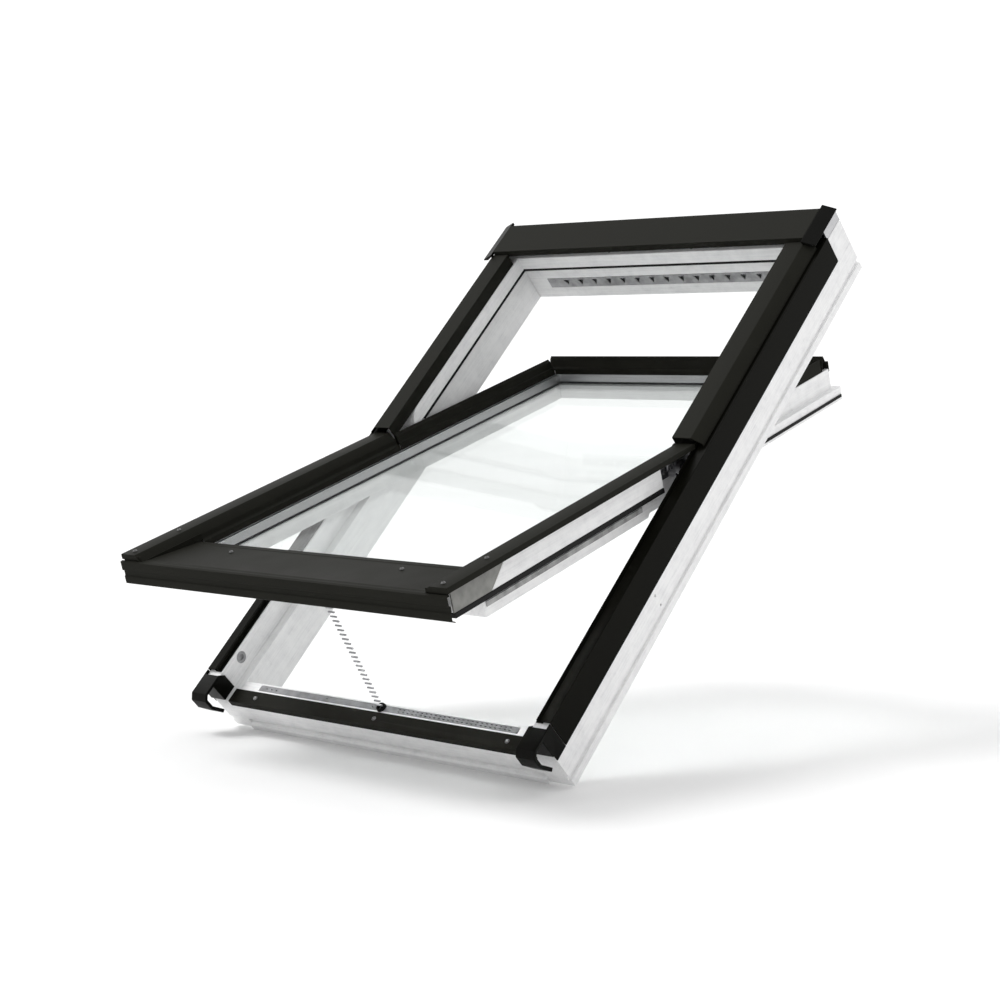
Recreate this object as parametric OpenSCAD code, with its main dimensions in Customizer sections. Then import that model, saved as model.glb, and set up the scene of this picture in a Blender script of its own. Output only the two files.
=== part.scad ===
// Centre-pivot roof window with an electric chain drive, shown open.
// Window-plane coordinates: x across, y up the slope from the frame's lower
// face, z outwards from the room side. window() tilts them to the roof pitch.
// Sash coordinates are the same axes about the pivot, turned by sash_open.

/* [Overall] */
// Width of the outer frame
frame_w = 780; // [600:10:1400]
// Length of the outer frame up the slope
frame_h = 1180; // [900:10:1800]
// Pitch of the roof that the window lies in, degrees
roof_pitch = 44.3; // [15:0.1:80]
// Angle that the sash is turned open, degrees
sash_open = 27.5; // [0:0.5:30]

/* [Frame timber] */
// Thickness of the stile at the room side
stile_t = 49; // [46:1:60]
// Thickness of the stile's outer wall, above the shelf
wall_t = 31; // [24:1:34]
// Depth of the frame timber, room side to outside
wall_n = 117; // [110:1:125]
// Height of the rebate shelf above the room side
shelf_n = 75; // [65:1:78]
// Thickness of the bottom rail up the slope
bottom_rail_t = 45; // [42:1:46]
// Thickness of the top rail at the room side
top_rail_t = 60; // [56:1:70]
// Width of the lining groove round the outside
lining_groove_w = 10; // [6:1:14]
// Depth of the lining groove
lining_groove_d = 5; // [2:0.5:8]
// Height of the lining groove's lower edge above the room side
lining_groove_n = 14; // [8:1:20]
// Thickness of the stop lists in the upper half
list_n = 29; // [20:1:31]
// Inward reach of the side stop lists from the wall
list_reach = 32; // [28:0.5:33]

/* [Pivot] */
// Distance of the pivot below the frame's mid-length
pivot_drop = 19; // [10:1:30]
// Height of the pivot above the room side
pivot_n = 109; // [108:1:110]
// Radius of the pivot pins
pin_r = 6; // [5:0.25:7]
// Radial running clearance at the pivot pins
pin_gap = 0.05; // [0.02:0.01:0.1]

/* [Sash] */
// Side gap between the sash's lower half and the frame wall
sash_gap = 5; // [4:0.5:7]
// Width of the sash core at its lower tongue
core_w = 30; // [26:1:32]
// Width of the sash core at the glass edge
core_wall_w = 18; // [15:1:20]
// Reach of the sash cladding past the frame's lower face, when closed
sash_overhang = 55; // [50:1:60]
// Gap between the closed sash's rear end and the top rail
rear_gap = 5; // [3:0.5:12]
// Depth of the sash tongue below the glass face
tongue_m = 56; // [50:1:62]
// Depth of the sash's step below the glass face
step_m = 30; // [27:1:31]
// Height of the sash timber above the glass face
timber_m = 20; // [14:1:24]
// Height of the glazing wall above the glass face
rim_m = 8; // [4:1:8]

/* [Glass] */
// Thickness of each pane
pane_t = 4; // [3:0.5:6]
// Width of the sealed gap between the panes
pane_gap = 16; // [10:1:16]
// Edge cover of the glass in its rebate
edge_cover = 8; // [6:0.5:10]

/* [Cladding] */
// Thickness of the aluminium sheet
sheet = 1.6; // [1:0.1:2]
// Height of the upper side covers above the room side
cover_n = 143; // [138:1:146]
// Height of the sash side covers above the glass face
sash_cover_m = 35; // [30:1:36]
// Height of the hood above the room side
hood_n = 150; // [148:1:160]
// Depth of the hood down the slope
hood_d = 88; // [80:1:100]

/* [Ventilator] */
// Pitch of the triangular air openings
vent_pitch = 35.5; // [30:0.5:45]
// Travel of the air shutter
vent_travel = 17.5; // [10:0.5:17.5]

/* [Chain drive] */
// Distance between the drive cover strip's ends and the stiles
drive_inset = 43; // [40:1:140]
// Radius of the chain's end pin
chain_pin_r = 3; // [2:0.5:4]

/* [Fixings] */
// Radius of the fixing holes in the stiles
fix_r = 2.5; // [1.5:0.25:4]
// Depth of the fixing holes
fix_depth = 22; // [10:1:30]
// Distance of the fixing holes up the slope
fix_v = 340; // [200:5:500]

/* [Hidden] */
$fn = 48;
origin_n = 45;                 // height of the origin above the room side
half_w = frame_w / 2;
wall_in = half_w - wall_t;     // inner face of the outer wall
room_in = half_w - stile_t;    // inner face at the room side
list_in = wall_in - list_reach;
list_bottom = wall_n - list_n;
top_in = frame_h - top_rail_t;
top_list_in = top_in - 12;
pivot_v = frame_h / 2 - pivot_drop;
sash_front = pivot_v + sash_overhang; // front face of the sash cladding, from the pivot
sash_rear = top_in - rear_gap - pivot_v; // rear end of the sash tongue, from the pivot
cover_start = pivot_v + 35;    // lower ends of the upper side covers
list_start = pivot_v + 89;     // lower ends of the side stop lists
drive_half = room_in - drive_inset;
vent_count = 2 * floor((room_in - 60) / vent_pitch) + 1;
seal_h = 6;
upper_end = frame_h - hood_d;  // upper ends of the side covers
core_out = room_in - 3;        // outer face of the sash tongue
core_in = core_out - core_w;
core_wall_out = list_in - 1;   // outer face of the sash core above its step
glass_in = core_wall_out - core_wall_w + edge_cover;
sash_side = wall_in - sash_gap;
ledge_m = 2 * pane_t + pane_gap + 3;
rear_in = sash_rear - 40;      // inner face of the sash's top rail
front_in = sash_front - 144;   // inner face of the sash's bottom rail
list_front = sash_front - 26;
list_tail = 62;                // distance from the pivot where the lists end
tongue_front = front_in + 38;  // front end of the tongue, from the pivot
list_low = -14;                // underside of the sash lists
rail_low = -22;                // underside of the sash's front timber
foot_slope = 10;               // rise of the bottom cover towards its front edge
plate_t = 2.6;                 // thickness of the corner plates
socket_v = 77;
socket_n = 101;
socket_r = 11;
screw_x = room_in - 51;
vent_half = vent_pitch * vent_count / 2 + 8;
vent_n = 26;
vent_h = 24;
chain_v = bottom_rail_t - 9;
nozzle_h = 4.5;
chain_n = shelf_n + nozzle_h + 0.6 + chain_pin_r; // hinge axis of the chain
chain_r = pivot_v - chain_v;   // lever arm of the chain about the pivot
cream = [0.93, 0.93, 0.92];
dark = [0.18, 0.18, 0.16];
black = [0.06, 0.06, 0.06];
grey = [0.55, 0.55, 0.56];

// Tilts window-plane geometry to the roof pitch, about the foot of the frame.
module window() { rotate([roof_pitch, 0, 0]) translate([0, 0, -origin_n]) children(); }
// Places sash geometry at the pivot, turned open.
module on_sash() {
    window() translate([0, pivot_v, pivot_n]) rotate([-sash_open, 0, 0]) children();
}
// An x-z outline run up the slope from a to b.
module run_up(a, b) { translate([0, b, 0]) rotate([90, 0, 0]) linear_extrude(b - a) children(); }
// A y-z outline run across from a to b.
module run_across(a, b) { translate([a, 0, 0]) rotate([90, 0, 90]) linear_extrude(b - a) children(); }
module block(a, b) { translate(a) cube(b - a); }
module left() { mirror([1, 0, 0]) children(); }

// ---- Frame timber ----

module stile() {
    difference() {
        run_up(0, frame_h) polygon([
            [half_w, 0], [half_w, wall_n], [wall_in, wall_n], [wall_in, shelf_n],
            [room_in, shelf_n], [room_in, 0]]);
        block([half_w - lining_groove_d, -1, lining_groove_n],
            [half_w + 1, frame_h + 1, lining_groove_n + lining_groove_w]);
        for (n = [32, 54])
            translate([half_w - fix_depth, fix_v, n]) rotate([0, 90, 0])
                cylinder(h = fix_depth + 1, r = fix_r);
        translate([wall_in - 1, socket_v, socket_n]) rotate([0, 90, 0])
            cylinder(h = 7, r = socket_r);
        // rebate for the hinge plate
        block([wall_in - 1, pivot_v - 50, pivot_n - 26], [wall_in + 3, pivot_v + 50, wall_n + 1]);
    }
}
module frame_stile_left() { color(cream) window() left() stile(); }
module frame_stile_right() { color(cream) window() stile(); }

module frame_top_rail() {
    color(cream) window() difference() {
        union() {
            block([-room_in, top_in, 0], [room_in, frame_h, shelf_n]);
            block([-wall_in, frame_h - wall_t, shelf_n], [wall_in, frame_h, wall_n]);
        }
        block([-half_w, frame_h - lining_groove_d, lining_groove_n],
            [half_w, frame_h + 1, lining_groove_n + lining_groove_w]);
        // pocket of the ventilator, and its duct up to the shelf
        block([-vent_half - vent_travel - 4, top_in - 1, vent_n],
            [vent_half + vent_travel + 4, top_in + 14, vent_n + vent_h]);
        block([-vent_half, top_in + 8, vent_n + 4], [vent_half, top_in + 14, shelf_n + 1]);
    }
}

module frame_bottom_rail() {
    color(cream) window() difference() {
        union() {
            block([-room_in, 0, 0], [room_in, bottom_rail_t, shelf_n]);
            block([-room_in, -5, 0], [room_in, 0, lining_groove_n - 2]);
        }
        block([-half_w, -1, lining_groove_n],
            [half_w, lining_groove_d, lining_groove_n + lining_groove_w]);
        // seat of the bottom cover's apron
        block([-half_w, -1, shelf_n - 13], [half_w, 0.5, shelf_n + 1]);
        // pocket of the chain drive
        block([-drive_half, chain_v - 6, 30], [drive_half, chain_v + 6, shelf_n + 1]);
    }
}

// Stop list of the upper half, with its lower end rounded.
module stop_list() {
    round_r = list_n;
    run_across(list_in, wall_in) union() {
        translate([list_start + round_r, list_bottom])
            square([top_list_in - list_start - round_r, list_n]);
        intersection() {
            translate([list_start + round_r, list_bottom]) circle(r = round_r, $fn = 64);
            translate([list_start, list_bottom]) square([round_r + 0.01, list_n]);
        }
    }
}
module stop_list_left() { color(cream) window() left() stop_list(); }
module stop_list_right() { color(cream) window() stop_list(); }
module stop_list_top() {
    color(cream) window()
        block([-wall_in, top_list_in, list_bottom], [wall_in, frame_h - wall_t - 0.05, wall_n]);
}

module frame_gasket() {
    color(black) window() union() {
        for (s = [0, 1]) mirror([s, 0, 0])
            block([list_in, list_start + list_n, list_bottom - seal_h],
                [list_in + 6, top_list_in + 6, list_bottom]);
        block([-list_in, top_list_in, list_bottom - seal_h],
            [list_in, top_list_in + 6, list_bottom]);
    }
}

// ---- Gutter profiles and corners ----

module gutter_profile() {
    base_n = wall_n + 0.3;
    rim_n = wall_n + 6;
    out = half_w + 2.5;
    run_up(29, upper_end + 31) polygon([
        [wall_in + 2, base_n], [wall_in + 2, base_n + sheet],
        [wall_in + 7, base_n + sheet], [wall_in + 7, rim_n + 3],
        [wall_in + 7 + sheet, rim_n + 3], [wall_in + 7 + sheet, base_n + sheet],
        [half_w - 17, base_n + sheet], [half_w - 17, rim_n],
        [out, rim_n], [out, shelf_n - 8], [out - sheet, shelf_n - 8],
        [out - sheet, rim_n - sheet], [half_w - 17 + sheet, rim_n - sheet],
        [half_w - 17 + sheet, base_n]]);
}
module gutter_profile_left() { color(dark) window() left() gutter_profile(); }
module gutter_profile_right() { color(dark) window() gutter_profile(); }

// Moulded end of the gutter: it wraps the stile's foot and hooks over the flashing.
module gutter_corner() {
    top_n = wall_n + 0.3;
    inner = wall_in - 3.5;
    union() {
        run_across(inner, half_w + 3) polygon([
            [18, top_n], [18, top_n + 5], [-24, top_n + 5], [-34, top_n - 4], [-34, 92],
            [-21, 66], [-15, 69], [-28, 94], [-28, top_n - 6], [-22, top_n - 0.3], [-0.3, top_n - 0.3],
            [-0.3, top_n]]);
        run_across(inner, half_w + 3) polygon([
            [-3, shelf_n + 4], [-0.3, shelf_n + 4], [-0.3, top_n], [-3, top_n]]);
        run_across(inner, wall_in - 0.3) polygon([
            [-0.3, shelf_n + 4], [28, shelf_n + 4], [28, top_n - 6], [18, top_n + 5],
            [-0.3, top_n + 5]]);
        block([half_w + 0.3, -0.3, 67], [half_w + 3, 28, top_n + 5]);
    }
}
module gutter_corner_left() { color(black) window() left() gutter_corner(); }
module gutter_corner_right() { color(black) window() gutter_corner(); }

// ---- Frame cladding ----

module upper_cover() {
    inner = list_in + 1.5;
    outer = half_w - 5;
    foot_n = wall_n + 0.3;
    run_up(cover_start, upper_end) polygon([
        [inner, foot_n], [inner, cover_n], [outer - 18, cover_n], [outer, cover_n - 13],
        [outer, wall_n + 7], [outer - sheet, wall_n + 7], [outer - sheet, cover_n - 13 - 0.8],
        [outer - 18.5, cover_n - sheet], [inner + sheet, cover_n - sheet],
        [inner + sheet, foot_n]]);
}
module upper_cover_left() { color(dark) window() left() upper_cover(); }
module upper_cover_right() { color(dark) window() upper_cover(); }

hood_half = half_w - 25;
module hood() {
    front = frame_h - hood_d + 2;
    rear = frame_h + 4;
    color(dark) window() run_across(-hood_half, hood_half) polygon([
        [front, hood_n - 14], [front, hood_n], [rear - 12, hood_n], [rear, hood_n - 9],
        [rear, wall_n - 10], [rear - sheet, wall_n - 10], [rear - sheet, hood_n - 9 - 0.6],
        [rear - 12.4, hood_n - sheet], [front + sheet, hood_n - sheet],
        [front + sheet, hood_n - 14]]);
}
// Moulded end cap of the hood, sloping down to the side.
module hood_end() {
    side = half_w + 1;
    low = cover_n - 6.4;
    run_up(frame_h - hood_d - 8, frame_h + 4) polygon([
        [hood_half + 0.2, hood_n], [side, low + 2.4], [side, low], [half_w - 10, low],
        [hood_half + 4, cover_n + 0.4], [hood_half + 0.2, cover_n + 0.4]]);
}
module hood_end_left() { color(black) window() left() hood_end(); }
module hood_end_right() { color(black) window() hood_end(); }

module hood_carrier() {
    top_n = cover_n - 6.8;
    edge = half_w - 0.5;
    color(grey) window() union() {
        for (s = [0, 1]) mirror([s, 0, 0]) {
            block([edge - sheet, upper_end + 32, wall_n + 0.05], [edge, frame_h, top_n]);
            block([hood_half + 0.2, upper_end + 32, wall_n + 0.05], [edge, frame_h, wall_n + sheet]);
        }
        block([-edge, frame_h - sheet, wall_n], [edge, frame_h, top_n]);
    }
}

module frame_bottom_cover() {
    reach = wall_in - 8;
    color(dark) window() difference() {
        run_across(-reach, reach) polygon([
            [-2, shelf_n - 11], [-2, shelf_n + sheet], [26, shelf_n + sheet], [26, shelf_n],
            [-2 + sheet, shelf_n], [-2 + sheet, shelf_n - 11]]);
        for (x = [-screw_x, 0, screw_x]) translate([x, 12, shelf_n - 5])
            cylinder(h = 12, r = 2.6);
    }
}

// ---- Ventilator ----

module vent_triangle(x, grow) {
    translate([x, vent_n + vent_h / 2])
        polygon([[-7 - grow, 7 + grow], [0, -7 - grow], [7 + grow, 7 + grow]]);
}
module vent_plate(v, t, half, grow) {
    translate([0, v + t, 0]) rotate([90, 0, 0]) linear_extrude(t) difference() {
        translate([-half, vent_n + 0.3]) square([2 * half, vent_h - 0.6]);
        for (i = [0 : vent_count - 1])
            vent_triangle((i - (vent_count - 1) / 2) * vent_pitch, grow);
    }
}
module ventilator_grille() {
    color(grey) window() vent_plate(top_in, 2.5, vent_half + vent_travel + 4, 0);
}
module ventilator_shutter() {
    color(grey) window() vent_plate(top_in + 3, 2, vent_half, 0.5);
}

// ---- Chain drive ----

module drive_housing() {
    color(black) window() difference() {
        block([-drive_half + 2, chain_v - 5, 31], [drive_half - 2, chain_v + 5, shelf_n - 3]);
        block([-24, chain_v - 3.5, 40], [24, chain_v + 3.5, shelf_n]);
    }
}
module drive_cover() {
    color(grey) window() difference() {
        block([-drive_half, chain_v - 6, shelf_n - 2.5], [drive_half, chain_v + 6, shelf_n + 0.5]);
        block([-4.8, chain_v - 4.8, shelf_n - 5], [4.8, chain_v + 4.8, shelf_n + 3]);
    }
}
module chain_nozzle() {
    color(black) window() translate([0, chain_v, shelf_n + 0.5]) difference() {
        cylinder(h = nozzle_h, r1 = 9, r2 = 8);
        translate([-4.8, -4.8, -1]) cube([9.6, 9.6, 8]);
    }
}
// The chain leaves the nozzle on the chord towards the sash bracket.
function sash_point(s, m) = [
    pivot_v + s * cos(sash_open) + m * sin(sash_open),
    pivot_n - s * sin(sash_open) + m * cos(sash_open)];
bracket_s = -chain_r;
bracket_m = chain_n - pivot_n;
chain_end = sash_point(bracket_s, bracket_m);
chain_len = norm(chain_end - [chain_v, chain_n]);
chain_tilt = atan2(chain_end[0] - chain_v, chain_end[1] - chain_n);
module push_chain() {
    link = 9;
    width = 7;
    color(grey) window() translate([0, chain_v, chain_n]) rotate([-chain_tilt, 0, 0])
        difference() {
            union() {
                block([-width / 2, -3.5, -5], [width / 2, 3.5, chain_len]);
                for (i = [0 : floor(chain_len / link) - 1])
                    translate([-width / 2 - 0.5, 0, (i + 0.5) * link]) rotate([0, 90, 0])
                        cylinder(h = width + 1, r = 3.9);
            }
            translate([-width, 0, chain_len]) rotate([0, 90, 0])
                cylinder(h = 2 * width, r = 6.5);
        }
}
module chain_bracket() {
    roof = -22 - bracket_m;
    color(black) on_sash() translate([0, bracket_s, bracket_m]) union() {
        for (s = [0, 1]) mirror([s, 0, 0]) block([10, -6, -3.6], [13, 6, roof]);
        rotate([0, 90, 0]) translate([0, 0, -13]) cylinder(h = 26, r = chain_pin_r);
        block([-24, -9, roof - 2.2], [24, 9, roof]);
    }
}

// ---- Lock and hinges ----

module bolt_socket() {
    translate([wall_in, socket_v, socket_n]) rotate([0, 90, 0]) difference() {
        cylinder(h = 6, r = socket_r);
        translate([0, 0, -1]) cylinder(h = 5, r = 6);
    }
}
module bolt_socket_left() { color(grey) window() left() bolt_socket(); }
module bolt_socket_right() { color(grey) window() bolt_socket(); }

hinge_in = sash_side - 8;      // inner end of the pivot pin
module hinge_frame() {
    union() {
        block([wall_in, pivot_v - 50, pivot_n - 26], [wall_in + 3, pivot_v + 50, wall_n]);
        translate([hinge_in, pivot_v, pivot_n]) rotate([0, 90, 0])
            cylinder(h = wall_in - hinge_in + 1, r = pin_r);
    }
}
module hinge_frame_left() { color(dark) window() left() hinge_frame(); }
module hinge_frame_right() { color(dark) window() hinge_frame(); }
module hinge_sash() {
    difference() {
        union() {
            block([core_wall_out, -34, -13], [core_wall_out + 4, 34, wall_n - pivot_n - 1]);
            block([core_wall_out, -13, -13], [hinge_in, 13, 13]);
            translate([core_wall_out, 0, 0]) rotate([0, 90, 0])
                cylinder(h = sash_side - core_wall_out + 1, r = 13);
        }
        translate([hinge_in - 2, 0, 0]) rotate([0, 90, 0])
            cylinder(h = 20, r = pin_r + pin_gap);
    }
}
module hinge_sash_left() { color(dark) on_sash() left() hinge_sash(); }
module hinge_sash_right() { color(dark) on_sash() hinge_sash(); }

// ---- Sash timber ----

module core_outline() {
    polygon([[core_in, -tongue_m], [core_out, -tongue_m], [core_out, -step_m],
        [core_wall_out, -step_m], [core_wall_out, rim_m],
        [core_wall_out - core_wall_w / 2, rim_m], [core_wall_out - core_wall_w / 2, -ledge_m],
        [core_in, -ledge_m]]);
}
module sash_stile() {
    difference() {
        run_up(-tongue_front, sash_rear) core_outline();
        // the tongue is cut back beside the pivot, on a slant
        run_across(core_wall_out, core_out + 1) polygon([
            [-96, -tongue_m - 1], [-72, -step_m + 1], [72, -step_m + 1], [72, -tongue_m - 1]]);
        // the wall above the tongue stops short of the rear end
        block([core_in - 1, sash_rear - 14, -step_m], [core_out + 1, sash_rear + 1, timber_m + 1]);
    }
}
module sash_stile_left() { color(cream) on_sash() left() sash_stile(); }
module sash_stile_right() { color(cream) on_sash() sash_stile(); }

module sash_top_rail() {
    wall = sash_rear - 14;
    color(cream) on_sash() run_across(-core_in, core_in) polygon([
        [rear_in, -tongue_m], [sash_rear, -tongue_m], [sash_rear, -step_m], [wall, -step_m],
        [wall, rim_m], [wall - core_wall_w / 2, rim_m],
        [wall - core_wall_w / 2, -ledge_m], [rear_in, -ledge_m]]);
}
module sash_bottom_rail() {
    back = -front_in;
    front = -tongue_front;
    color(cream) on_sash() union() {
        run_across(-core_in, core_in) polygon([
            [back, -tongue_m], [front, -tongue_m], [front, rail_low], [back - 9, rail_low],
            [back - 9, -ledge_m], [back, -ledge_m]]);
        run_across(-core_wall_out, core_wall_out) polygon([
            [front, rail_low], [-list_front, rail_low], [-list_front, timber_m - 7],
            [-list_front + 6, timber_m - 4], [front, rim_m]]);
        run_across(-core_wall_out + core_wall_w / 2, core_wall_out - core_wall_w / 2) polygon([
            [front, rail_low], [front, rim_m], [back - 9, rim_m], [back - 9, rail_low]]);
    }
}

// Outline of the corner plate on the side of a list, with its rear end cut on a slant.
module plate_outline(gap) {
    polygon([[-list_front - gap, list_low - gap], [-list_front + 86 + gap, list_low - gap],
        [-list_front + 122 + gap, timber_m - 3], [-list_front + 122 + gap, timber_m + 2 * gap],
        [-list_front - gap, timber_m + 2 * gap]]);
}
module sash_list() {
    difference() {
        block([core_wall_out, -list_front, list_low], [sash_side, -list_tail, timber_m]);
        run_across(sash_side - plate_t - 0.4, sash_side + 1) plate_outline(0.3);
    }
}
module corner_plate() {
    run_across(sash_side - plate_t - 0.4, sash_side - 0.4) plate_outline(0);
}
module corner_plate_left() { color(grey) on_sash() left() corner_plate(); }
module corner_plate_right() { color(grey) on_sash() corner_plate(); }
module sash_list_left() { color(cream) on_sash() left() sash_list(); }
module sash_list_right() { color(cream) on_sash() sash_list(); }

module sash_gasket() {
    low = rail_low - 0.5;
    color(black) on_sash() union() {
        for (s = [0, 1]) mirror([s, 0, 0]) {
            block([core_wall_out + 2, -list_front, low], [sash_side + 1, -list_tail, list_low]);
            // seal in the side of the tongue's rear half
            block([core_out, 110, -50], [core_out + 2, sash_rear - 4, -44]);
        }
        block([-core_wall_out, -pivot_v + 11, -28], [core_wall_out, -pivot_v + 20, rail_low]);
    }
}
module sash_lip_seal() {
    color(grey) on_sash() for (s = [0, 1]) mirror([s, 0, 0])
        block([core_out, -tongue_front + 4, -40], [core_out + 2.4, -110, -31]);
}

// ---- Glass ----

pane_half = core_wall_out - core_wall_w / 2 - 1;
pane_front = -front_in - 8;
pane_rear = sash_rear - 14 - core_wall_w / 2 - 1;
module pane(m) { block([-pane_half, pane_front, m - pane_t], [pane_half, pane_rear, m]); }
module outer_pane() { color([0.8, 0.9, 0.9, 0.4]) on_sash() pane(0); }
module inner_pane() { color([0.8, 0.9, 0.9, 0.4]) on_sash() pane(-pane_t - pane_gap); }
// A flat ring under or between the panes, set in from their edge.
module ring(inset, w, low, high) {
    difference() {
        block([-pane_half + inset, pane_front + inset, low],
            [pane_half - inset, pane_rear - inset, high]);
        block([-pane_half + inset + w, pane_front + inset + w, low - 1],
            [pane_half - inset - w, pane_rear - inset - w, high + 1]);
    }
}
module spacer_bar() { color(grey) on_sash() ring(0, 7, -pane_t - pane_gap + 0.02, -pane_t - 0.02); }
module glazing_seal() { color(black) on_sash() ring(0, 6, -ledge_m + 0.05, -2 * pane_t - pane_gap - 0.05); }

// ---- Sash cladding ----

// Side cover of the lower half: bead on the glass, groove, rise, flat, outer lip and a
// closed front end.
module sash_cover() {
    outer = half_w - 20;
    top = sash_cover_m;
    edge = core_in + 4;
    front = -sash_front + 5.2;
    union() {
        difference() {
            run_up(front, 20) polygon([
                [edge, 0.3], [edge + 3, 10], [edge + 9, 13], [edge + 10, 21], [edge + 22, top],
                [outer - 1, top], [outer, top - 2], [outer, top - 9], [outer - sheet, top - 9],
                [outer - sheet, top - sheet], [edge + 22.6, top - sheet], [edge + 11.4, 22],
                [edge + 11.2, timber_m + 0.3], [edge + 10.4, 11.8], [edge + 4.2, 8.8],
                [edge + 2.2, 0.3]]);
            // the bead ends where the bottom cover begins
            block([edge - 1, -sash_front, -1], [edge + 12, -front_in - 4, timber_m + 1.3]);
        }
        run_up(front, front + 2) polygon([
            [edge + 14, top - 9.5], [edge + 22, top - 0.5], [outer - 1, top - 0.5],
            [outer - 0.5, top - 9.5]]);
    }
}
module sash_cover_left() { color(dark) on_sash() left() sash_cover(); }
module sash_cover_right() { color(dark) on_sash() sash_cover(); }

module sash_upper_cover() {
    outer = core_wall_out;
    edge = core_in + 4;
    run_up(22, rear_in - 0.3) polygon([
        [edge, 0.3], [edge + 2, 14], [edge + 5, 15], [edge + 7, 27], [outer - 2, 33],
        [outer, 32], [outer, rim_m + 0.3], [outer - sheet, rim_m + 0.3],
        [outer - sheet, 30.6], [edge + 8.6, 25.6], [edge + 6.6, 13.6], [edge + 4.4, 12.2],
        [edge + 2.2, 0.3]]);
}
module sash_upper_cover_left() { color(dark) on_sash() left() sash_upper_cover(); }
module sash_upper_cover_right() { color(dark) on_sash() sash_upper_cover(); }

module sash_top_cover() {
    wall = sash_rear - 14;
    color(dark) on_sash() difference() {
        run_across(-core_wall_out, core_wall_out) polygon([
            [rear_in, 0.3], [rear_in + 2, 12], [rear_in + 5, 14], [rear_in + 8, 30],
            [rear_in + 13, 36], [rear_in + 18, 24], [wall + 0.3 + sheet, 22],
            [wall + 0.3 + sheet, 2], [wall + 0.3, 2], [wall + 0.3, 20.4], [rear_in + 17, 22.4],
            [rear_in + 12.6, 33], [rear_in + 9.6, 29.2], [rear_in + 6.6, 12.8],
            [rear_in + 3.4, 10.8], [rear_in + 2.2, 0.3]]);
        // the bead ends against the glazing walls of the stiles
        for (s = [0, 1]) mirror([s, 0, 0])
            block([core_in + 4, rear_in - 1, -1], [core_wall_out + 1, wall + 0.2, rim_m + 0.3]);
    }
}

// Bottom cover: bead on the glass, a flat that rises to the front, and a stepped apron.
module sash_bottom_cover() {
    edge = -front_in - 4;
    reach = core_in + 13;
    front = -sash_front;
    lip = sash_cover_m - 11;       // upper edge of the apron
    inner = lip - foot_slope - 1;  // height of the flat beside the glass
    color(dark) on_sash() union() {
        difference() {
            run_across(-reach, reach) polygon([
                [edge, 0.3], [edge - 3, 9], [edge - 8, inner - 1], [edge - 22, inner],
                [front + 10, lip - 1], [front + 4, lip - 1], [front + 4, lip - 3],
                [front + 10, lip - 1 - sheet], [edge - 22.2, inner - sheet],
                [edge - 8.8, inner - 1 - sheet], [edge - 4.6, 8.2], [edge - 2.2, 0.3]]);
            // the bead ends against the glazing walls of the stiles
            for (s = [0, 1]) mirror([s, 0, 0])
                block([core_wall_out - core_wall_w / 2 - 0.3, edge - 20, -1],
                    [reach + 1, edge + 1, rim_m + 0.3]);
        }
        run_across(-half_w + 20, half_w - 20) polygon([
            [front + 5, lip], [front, lip - 1], [front, 8], [front + 3, 6],
            [front + 3, -2], [front + 1, -4], [front + 1, -16], [front + 8, -20],
            [front + 8, -18], [front + 2.6, -15], [front + 2.6, -3.2], [front + 4.6, -1.2],
            [front + 4.6, 7], [front + 1.6, 9], [front + 1.6, lip - 2.3], [front + 5, lip - 1.6]]);
    }
}

// ---- Screws ----

module frame_screws() {
    color(grey) window() {
        for (x = [-screw_x, 0, screw_x]) translate([x, 12, shelf_n + sheet])
            cylinder(h = 2, r = 4.5);
        for (x = [-half_w / 4, half_w / 4]) translate([x, top_list_in + 10, wall_n]) cylinder(h = 1.6, r = 4);
    }
}
module hinge_screws() {
    color(grey) window() for (s = [0, 1]) mirror([s, 0, 0])
        for (v = [-40, -24, 24, 40])
            translate([wall_in - 1.4, pivot_v + v, pivot_n - 8]) rotate([0, 90, 0])
                cylinder(h = 1.4, r = 4);
}
module sash_screws() {
    color(grey) on_sash() {
        for (x = [-half_w / 2, half_w / 2]) translate([x, -sash_front + 94, 15.7])
            cylinder(h = 1.5, r = 4);
        for (s = [0, 1]) mirror([s, 0, 0]) for (y = [-sash_front + 20, -sash_front + 120])
            translate([core_in + 42, y, sash_cover_m]) cylinder(h = 1.5, r = 3.5);
    }
}

frame_stile_left();
frame_stile_right();
frame_top_rail();
frame_bottom_rail();
stop_list_left();
stop_list_right();
stop_list_top();
frame_gasket();
gutter_profile_left();
gutter_profile_right();
gutter_corner_left();
gutter_corner_right();
upper_cover_left();
upper_cover_right();
hood();
hood_end_left();
hood_end_right();
hood_carrier();
frame_bottom_cover();
ventilator_grille();
ventilator_shutter();
drive_housing();
drive_cover();
chain_nozzle();
push_chain();
chain_bracket();
bolt_socket_left();
bolt_socket_right();
hinge_frame_left();
hinge_frame_right();
hinge_sash_left();
hinge_sash_right();
sash_stile_left();
sash_stile_right();
sash_top_rail();
sash_bottom_rail();
sash_list_left();
sash_list_right();
corner_plate_left();
corner_plate_right();
sash_gasket();
sash_lip_seal();
outer_pane();
inner_pane();
spacer_bar();
glazing_seal();
sash_cover_left();
sash_cover_right();
sash_upper_cover_left();
sash_upper_cover_right();
sash_top_cover();
sash_bottom_cover();
frame_screws();
hinge_screws();
sash_screws();
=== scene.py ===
# Centre-pivot roof window: white timber frame and sash, dark aluminium
# cladding, electric push chain.  The sections follow the order in which a
# workshop puts it together; all sizes are in metres.
from math import cos, pi, radians, sin
import bmesh
import bpy
from mathutils import Matrix, Vector


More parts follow.
